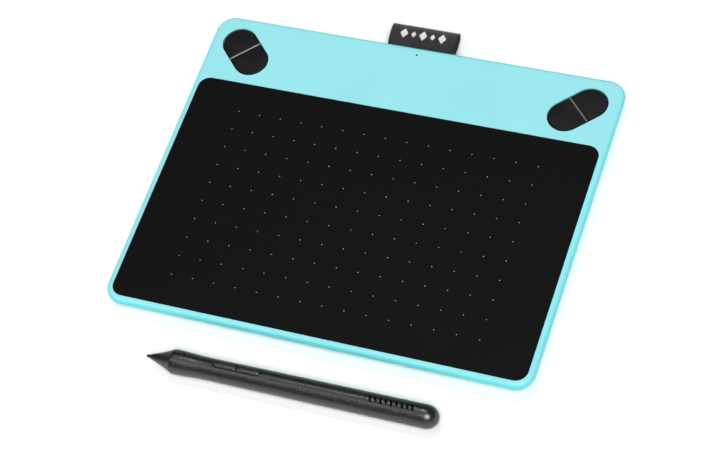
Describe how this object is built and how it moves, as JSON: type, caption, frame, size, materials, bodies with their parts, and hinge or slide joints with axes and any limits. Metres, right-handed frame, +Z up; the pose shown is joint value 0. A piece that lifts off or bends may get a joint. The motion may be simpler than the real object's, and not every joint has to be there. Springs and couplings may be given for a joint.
{
  "type": "pen drawing tablet",
  "caption": "Slim desktop drawing tablet with a matt writing surface, corner shortcut keys and a woven pen loop, and its cordless pen lying in front of it.",
  "frame": {"origin": "bottom centre of the box around the tablet and the pen, on the desk", "axes": "+X along the tablet's front edge to the right, +Y away from the user, +Z up"},
  "size_m": [0.21, 0.2108, 0.0118],
  "materials": {
    "case_mint": "satin moulded plastic",
    "surface_black": "fine textured sheet",
    "board_green": "solder resist",
    "shield": "rolled sheet",
    "foam": "closed-cell foam",
    "chip_black": "moulded package",
    "socket_steel": "plated sheet",
    "film_white": "polyester film",
    "pipe_clear": "clear moulding",
    "loop_fabric": "twill woven ribbon",
    "foot_rubber": "smooth",
    "rack_grey": "moulded",
    "nib_black": "smooth",
    "key_black": "satin",
    "plunger_grey": "moulded",
    "pen_black": "soft coating",
    "nose_black": "satin",
    "button_black": "satin",
    "ferrite": "sintered",
    "copper": "enamelled wire",
    "capacitor_tan": "ceramic"
  },
  "bodies": {
    "tablet": {"top_case": "case_mint", "bottom_case": "case_mint", "drawing_surface": "surface_black", "sensor_board": "board_green", "shield_plate": "shield", "foam_strips": "foam", "main_board": "board_green", "controller_chip": "chip_black", "power_chip": "chip_black", "usb_socket": "socket_steel", "sensor_ribbon": "film_white", "ribbon_connectors": "film_white", "left_key_board": "board_green", "right_key_board": "board_green", "key_switches": "chip_black", "left_key_ribbon": "film_white", "right_key_ribbon": "film_white", "led_board": "board_green", "status_led": "film_white", "light_pipe": "pipe_clear", "pen_loop": "loop_fabric", "loop_clamp": "socket_steel", "case_screws": "socket_steel", "board_screws": "socket_steel", "front_left_foot": "foot_rubber", "front_right_foot": "foot_rubber", "back_left_foot": "foot_rubber", "back_right_foot": "foot_rubber", "nib_rack": "rack_grey", "spare_nibs": "nib_black", "battery_socket": "rack_grey", "wireless_socket": "rack_grey"},
    "left_back_key": {"left_back_key": "key_black", "left_back_plunger": "plunger_grey"},
    "left_front_key": {"left_front_key": "key_black", "left_front_plunger": "plunger_grey"},
    "right_back_key": {"right_back_key": "key_black", "right_back_plunger": "plunger_grey"},
    "right_front_key": {"right_front_key": "key_black", "right_front_plunger": "plunger_grey"},
    "accessory_cover": {"accessory_cover": "case_mint"},
    "pen": {"pen_barrel": "pen_black", "pen_nose": "nose_black", "pen_chassis": "rack_grey", "pen_board": "board_green", "pen_switches": "chip_black", "pen_chip": "chip_black", "pen_capacitors": "capacitor_tan", "ferrite_core": "ferrite", "pen_coil": "copper", "pressure_sensor": "shield"},
    "pen_nib": {"pen_nib": "nib_black", "nib_carrier": "film_white"},
    "lower_side_button": {"lower_side_button": "button_black"},
    "upper_side_button": {"upper_side_button": "button_black"}
  },
  "joints": [
    {"name": "left_back_key_press", "type": "slide", "parent": "tablet", "child": "left_back_key", "axis": [0, 0, -1], "range_m": [0, 0.0004], "stiffness_N_per_m": 1500},
    {"name": "left_front_key_press", "type": "slide", "parent": "tablet", "child": "left_front_key", "axis": [0, 0, -1], "range_m": [0, 0.0004], "stiffness_N_per_m": 1500},
    {"name": "right_back_key_press", "type": "slide", "parent": "tablet", "child": "right_back_key", "axis": [0, 0, -1], "range_m": [0, 0.0004], "stiffness_N_per_m": 1500},
    {"name": "right_front_key_press", "type": "slide", "parent": "tablet", "child": "right_front_key", "axis": [0, 0, -1], "range_m": [0, 0.0004], "stiffness_N_per_m": 1500},
    {"name": "cover_slide", "type": "slide", "parent": "tablet", "child": "accessory_cover", "axis": [0, 1, 0], "range_m": [0, 0.05]},
    {"name": "pen_lift", "type": "slide", "parent": "tablet", "child": "pen", "axis": [0, 0, 1], "range_m": [0, 0.12]},
    {"name": "nib_press", "type": "slide", "parent": "pen", "child": "pen_nib", "axis": [1, 0.0087, -0.0029], "range_m": [0, 0.0003], "stiffness_N_per_m": 2000},
    {"name": "lower_button_press", "type": "slide", "parent": "pen", "child": "lower_side_button", "axis": [-0.0007, -0.2419, -0.9703], "range_m": [0, 0.00025], "stiffness_N_per_m": 2000},
    {"name": "upper_button_press", "type": "slide", "parent": "pen", "child": "upper_side_button", "axis": [-0.0007, -0.2419, -0.9703], "range_m": [0, 0.00025], "stiffness_N_per_m": 2000}
  ]
}
